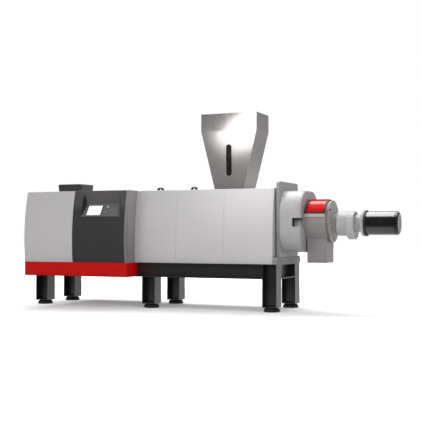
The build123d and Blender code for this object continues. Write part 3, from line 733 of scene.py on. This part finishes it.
def buildWorld():
    world = bpy.data.worlds.new("studioWorld")
    bpy.context.scene.world = world
    world.use_nodes = True
    tree = world.node_tree
    tree.nodes.clear()
    seen, glossy = seenDirectly(tree)
    coords = addNode(tree, "ShaderNodeTexCoord")
    way = addNode(tree, "ShaderNodeSeparateXYZ", {0: coords.outputs["Generated"]})
    front = ranged(tree, way.outputs["Y"], studioSet["turnDark"], studioSet["turnWhite"],
                   1 - studioSet["frontGloss"], 0.0, True)
    sky = ranged(tree, way.outputs["Z"], studioSet["skyLow"], studioSet["skyHigh"],
                 0.0, 1 - studioSet["skyGloss"], True)
    dimmed = allOf(tree, glossy, calc(tree, "MAXIMUM", front, sky))
    white = addNode(tree, "ShaderNodeBackground", {"Color": (1, 1, 1),
                                                   "Strength": calc(tree, "SUBTRACT", 1.0, dimmed)})
    soft = addNode(tree, "ShaderNodeBackground", {"Color": (1, 1, 1), "Strength": studioSet["fill"]})
    mix = addNode(tree, "ShaderNodeMixShader", {0: seen, 1: soft.outputs[0], 2: white.outputs[0]})
    addNode(tree, "ShaderNodeOutputWorld", {0: mix.outputs[0]})


def buildFloor():
    mesh = bpy.data.meshes.new("studioFloor")
    bm = bmesh.new()
    bmesh.ops.create_grid(bm, x_segments=1, y_segments=1, size=studioSet["floorSize"] / 2)
    bm.to_mesh(mesh)
    bm.free()
    floor = bpy.data.objects.new("studioFloor", mesh)
    bpy.context.scene.collection.objects.link(floor)
    material = bpy.data.materials.new("studioFloor")
    material.use_nodes = True
    tree = material.node_tree
    tree.nodes.clear()
    seen, glossy = seenDirectly(tree)
    across, depth = coordinateOf(tree, "X"), coordinateOf(tree, "Y")
    away = addNode(tree, "ShaderNodeVectorMath", {0: pointsOn(tree, studioSet["glowScale"])},
                   operation="LENGTH").outputs["Value"]
    glow = ranged(tree, away, studioSet["nearEdge"], studioSet["farEdge"],
                  studioSet["glowNear"], studioSet["glowFar"], True)
    leftGlow = ranged(tree, across, studioSet["leftFrom"], studioSet["leftTo"], 0.0, studioSet["leftGlow"], True)
    glow = calc(tree, "MAXIMUM", glow, leftGlow)
    lit = addNode(tree, "ShaderNodeEmission", {"Color": (1, 1, 1), "Strength": allOf(tree, seen, glow)})
    matt = addNode(tree, "ShaderNodeBsdfDiffuse", {"Color": studioSet["floorColour"]})
    both = addNode(tree, "ShaderNodeAddShader", {0: matt.outputs[0], 1: lit.outputs[0]})
    mirrored = ranged(tree, depth, studioSet["glossFront"], studioSet["glossBack"],
                      studioSet["frontGloss"], 1.0, True)
    distant = ranged(tree, depth, studioSet["farFrom"], studioSet["farTo"], 1.0, studioSet["farGloss"], True)
    sheen = addNode(tree, "ShaderNodeEmission", {"Color": (1, 1, 1), "Strength": allOf(tree, mirrored, distant)})
    mix = addNode(tree, "ShaderNodeMixShader", {0: glossy, 1: both.outputs[0], 2: sheen.outputs[0]})
    addNode(tree, "ShaderNodeOutputMaterial", {0: mix.outputs[0]})
    mesh.materials.append(material)


# lamps light the object and don't show in reflections; cards only show in reflections
lampSet = dict(
    keyLamp=dict(place=(-3.4, -6.2, 3.4), aim=(-1.2, -0.4, 0.9), size=(4.0, 3.0), power=100.0),
    rightLamp=dict(place=(3.0, -6.0, 3.2), aim=(0.6, -0.4, 0.9), size=(4.0, 3.0), power=115.0),
    panelLamp=dict(place=(0.8, -1.02, 2.25), aim=(0.7, -0.45, 1.2), size=(0.7, 0.5), power=10.0),
    sideLamp=dict(place=(4.2, -1.0, 1.5), aim=(1.4, 0.0, 1.0), size=(1.2, 1.0), power=18.0),
    backLamp=dict(place=(-0.8, 3.4, 9.0), aim=(-0.2, 0.0, 0.5), size=(8.0, 5.0), power=850.0))
cardSet = dict(
    roofCard=dict(place=(1.2, 1.2, 5.2), aim=(1.2, 1.2, 1.0), size=(9.0, 5.6), power=950.0),
    hopperCard=dict(place=(-0.84, -4.0, 2.56), aim=(-0.84, 0.0, 2.56), size=(1.26, 0.82), power=22.0, roll=30.0),
    foldCard=dict(place=(-1.22, -4.0, 2.28), aim=(-1.22, 0.0, 2.28), size=(0.62, 0.42), power=2.3, roll=-20.0))


def addLamp(name, card, place, aim, size, power, roll=0.0):
    data = bpy.data.lights.new(name, "AREA")
    data.shape = "ELLIPSE"
    data.size, data.size_y = size
    data.energy = power
    lamp = bpy.data.objects.new(name, data)
    lamp.location = place
    turn = (Vector(aim) - Vector(place)).to_track_quat("-Z", "Y")
    lamp.rotation_euler = (turn @ Quaternion((0, 0, 1), radians(roll))).to_euler()
    lamp.visible_camera = False
    lamp.visible_diffuse = not card
    lamp.visible_glossy = card
    bpy.context.scene.collection.objects.link(lamp)


bpy.context.scene.view_settings.view_transform = "Standard"
buildWorld()
buildFloor()
for card, group in ((False, lampSet), (True, cardSet)):
    for name, spec in group.items():
        addLamp(name, card, **spec)
print("studio built")
